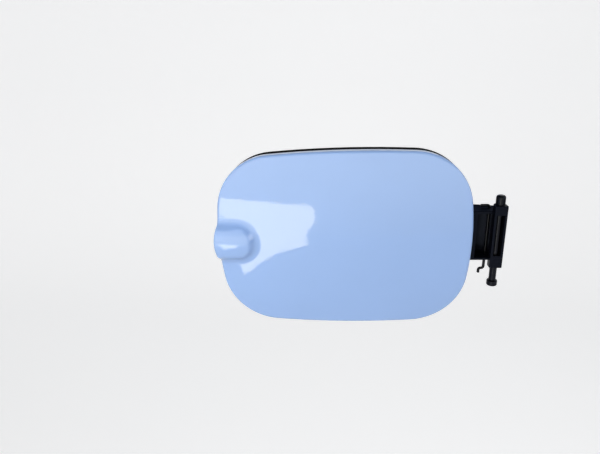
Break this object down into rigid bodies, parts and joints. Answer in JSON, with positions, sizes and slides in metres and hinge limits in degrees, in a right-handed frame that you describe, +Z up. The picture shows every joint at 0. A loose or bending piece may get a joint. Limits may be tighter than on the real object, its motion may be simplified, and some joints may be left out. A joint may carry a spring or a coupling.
{
  "type": "car fuel door",
  "caption": "Hinged car fuel door: painted crowned skin with a raised finger lip, black ribbed carrier, moulded gooseneck arm turning on a steel pin.",
  "frame": {"origin": "on the hinge-pin axis at the door's mid-height", "axes": "+X from the door to its hinge side, +Y into the car, +Z up along the hinge pin; the painted face looks along -Y"},
  "size_m": [0.2051, 0.0359, 0.1306],
  "materials": {
    "painted_skin": "clear-coated paint on a plastic skin",
    "black_moulding": "fine moulded grain",
    "black_nylon": "glass-filled, satin",
    "pin_steel": "turned, phosphated and oiled",
    "spring_steel": "drawn wire, oil-hardened",
    "screw_steel": "black zinc",
    "rubber": "moulded"
  },
  "bodies": {
    "pin": {"hinge_pin": "pin_steel", "pin_cap": "pin_steel"},
    "door": {"outer_panel": "painted_skin", "inner_panel": "black_moulding", "hinge_arm": "black_nylon", "detent_spring": "spring_steel", "arm_screws": "screw_steel", "bumper_upper": "rubber", "bumper_lower": "rubber"}
  },
  "joints": [
    {"name": "door_hinge", "type": "hinge", "parent": "pin", "child": "door", "pos_m": [0, 0, 0], "axis": [0, 0, 1], "range_deg": [0, 90]}
  ]
}
